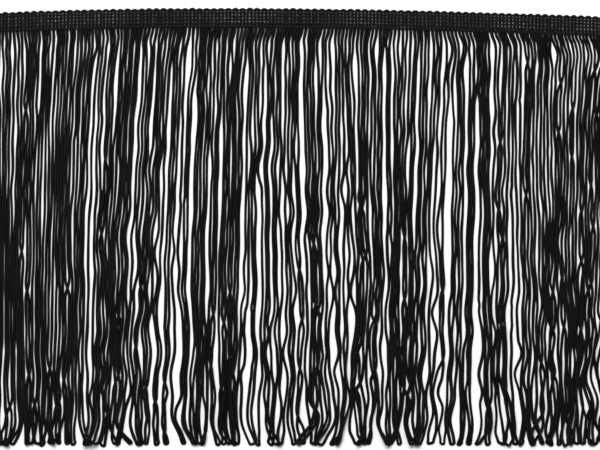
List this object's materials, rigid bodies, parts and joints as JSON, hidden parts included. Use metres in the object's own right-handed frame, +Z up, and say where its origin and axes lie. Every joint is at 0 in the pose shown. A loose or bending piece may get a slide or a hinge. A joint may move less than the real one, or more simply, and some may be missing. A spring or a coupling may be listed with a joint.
{
  "type": "chainette fringe trim",
  "caption": "Cut length of looped chainette cord fringe lying flat, hanging from a crocheted, ribbed header tape with a scalloped edge.",
  "frame": {"origin": "middle of the bottom of the box around the fringe as it lies, on the surface under it", "axes": "+X along the header tape, +Y from the ends of the loops towards the header's scalloped edge, +Z up off the surface"},
  "size_m": [0.4322, 0.3042, 0.0033],
  "materials": {
    "header_tape": "matt crochet of chainette cord",
    "fringe_skirt": "soft sheen of chainette cord"
  },
  "bodies": {
    "root": {"header_tape": "header_tape", "fringe_skirt": "fringe_skirt"}
  },
  "joints": []
}
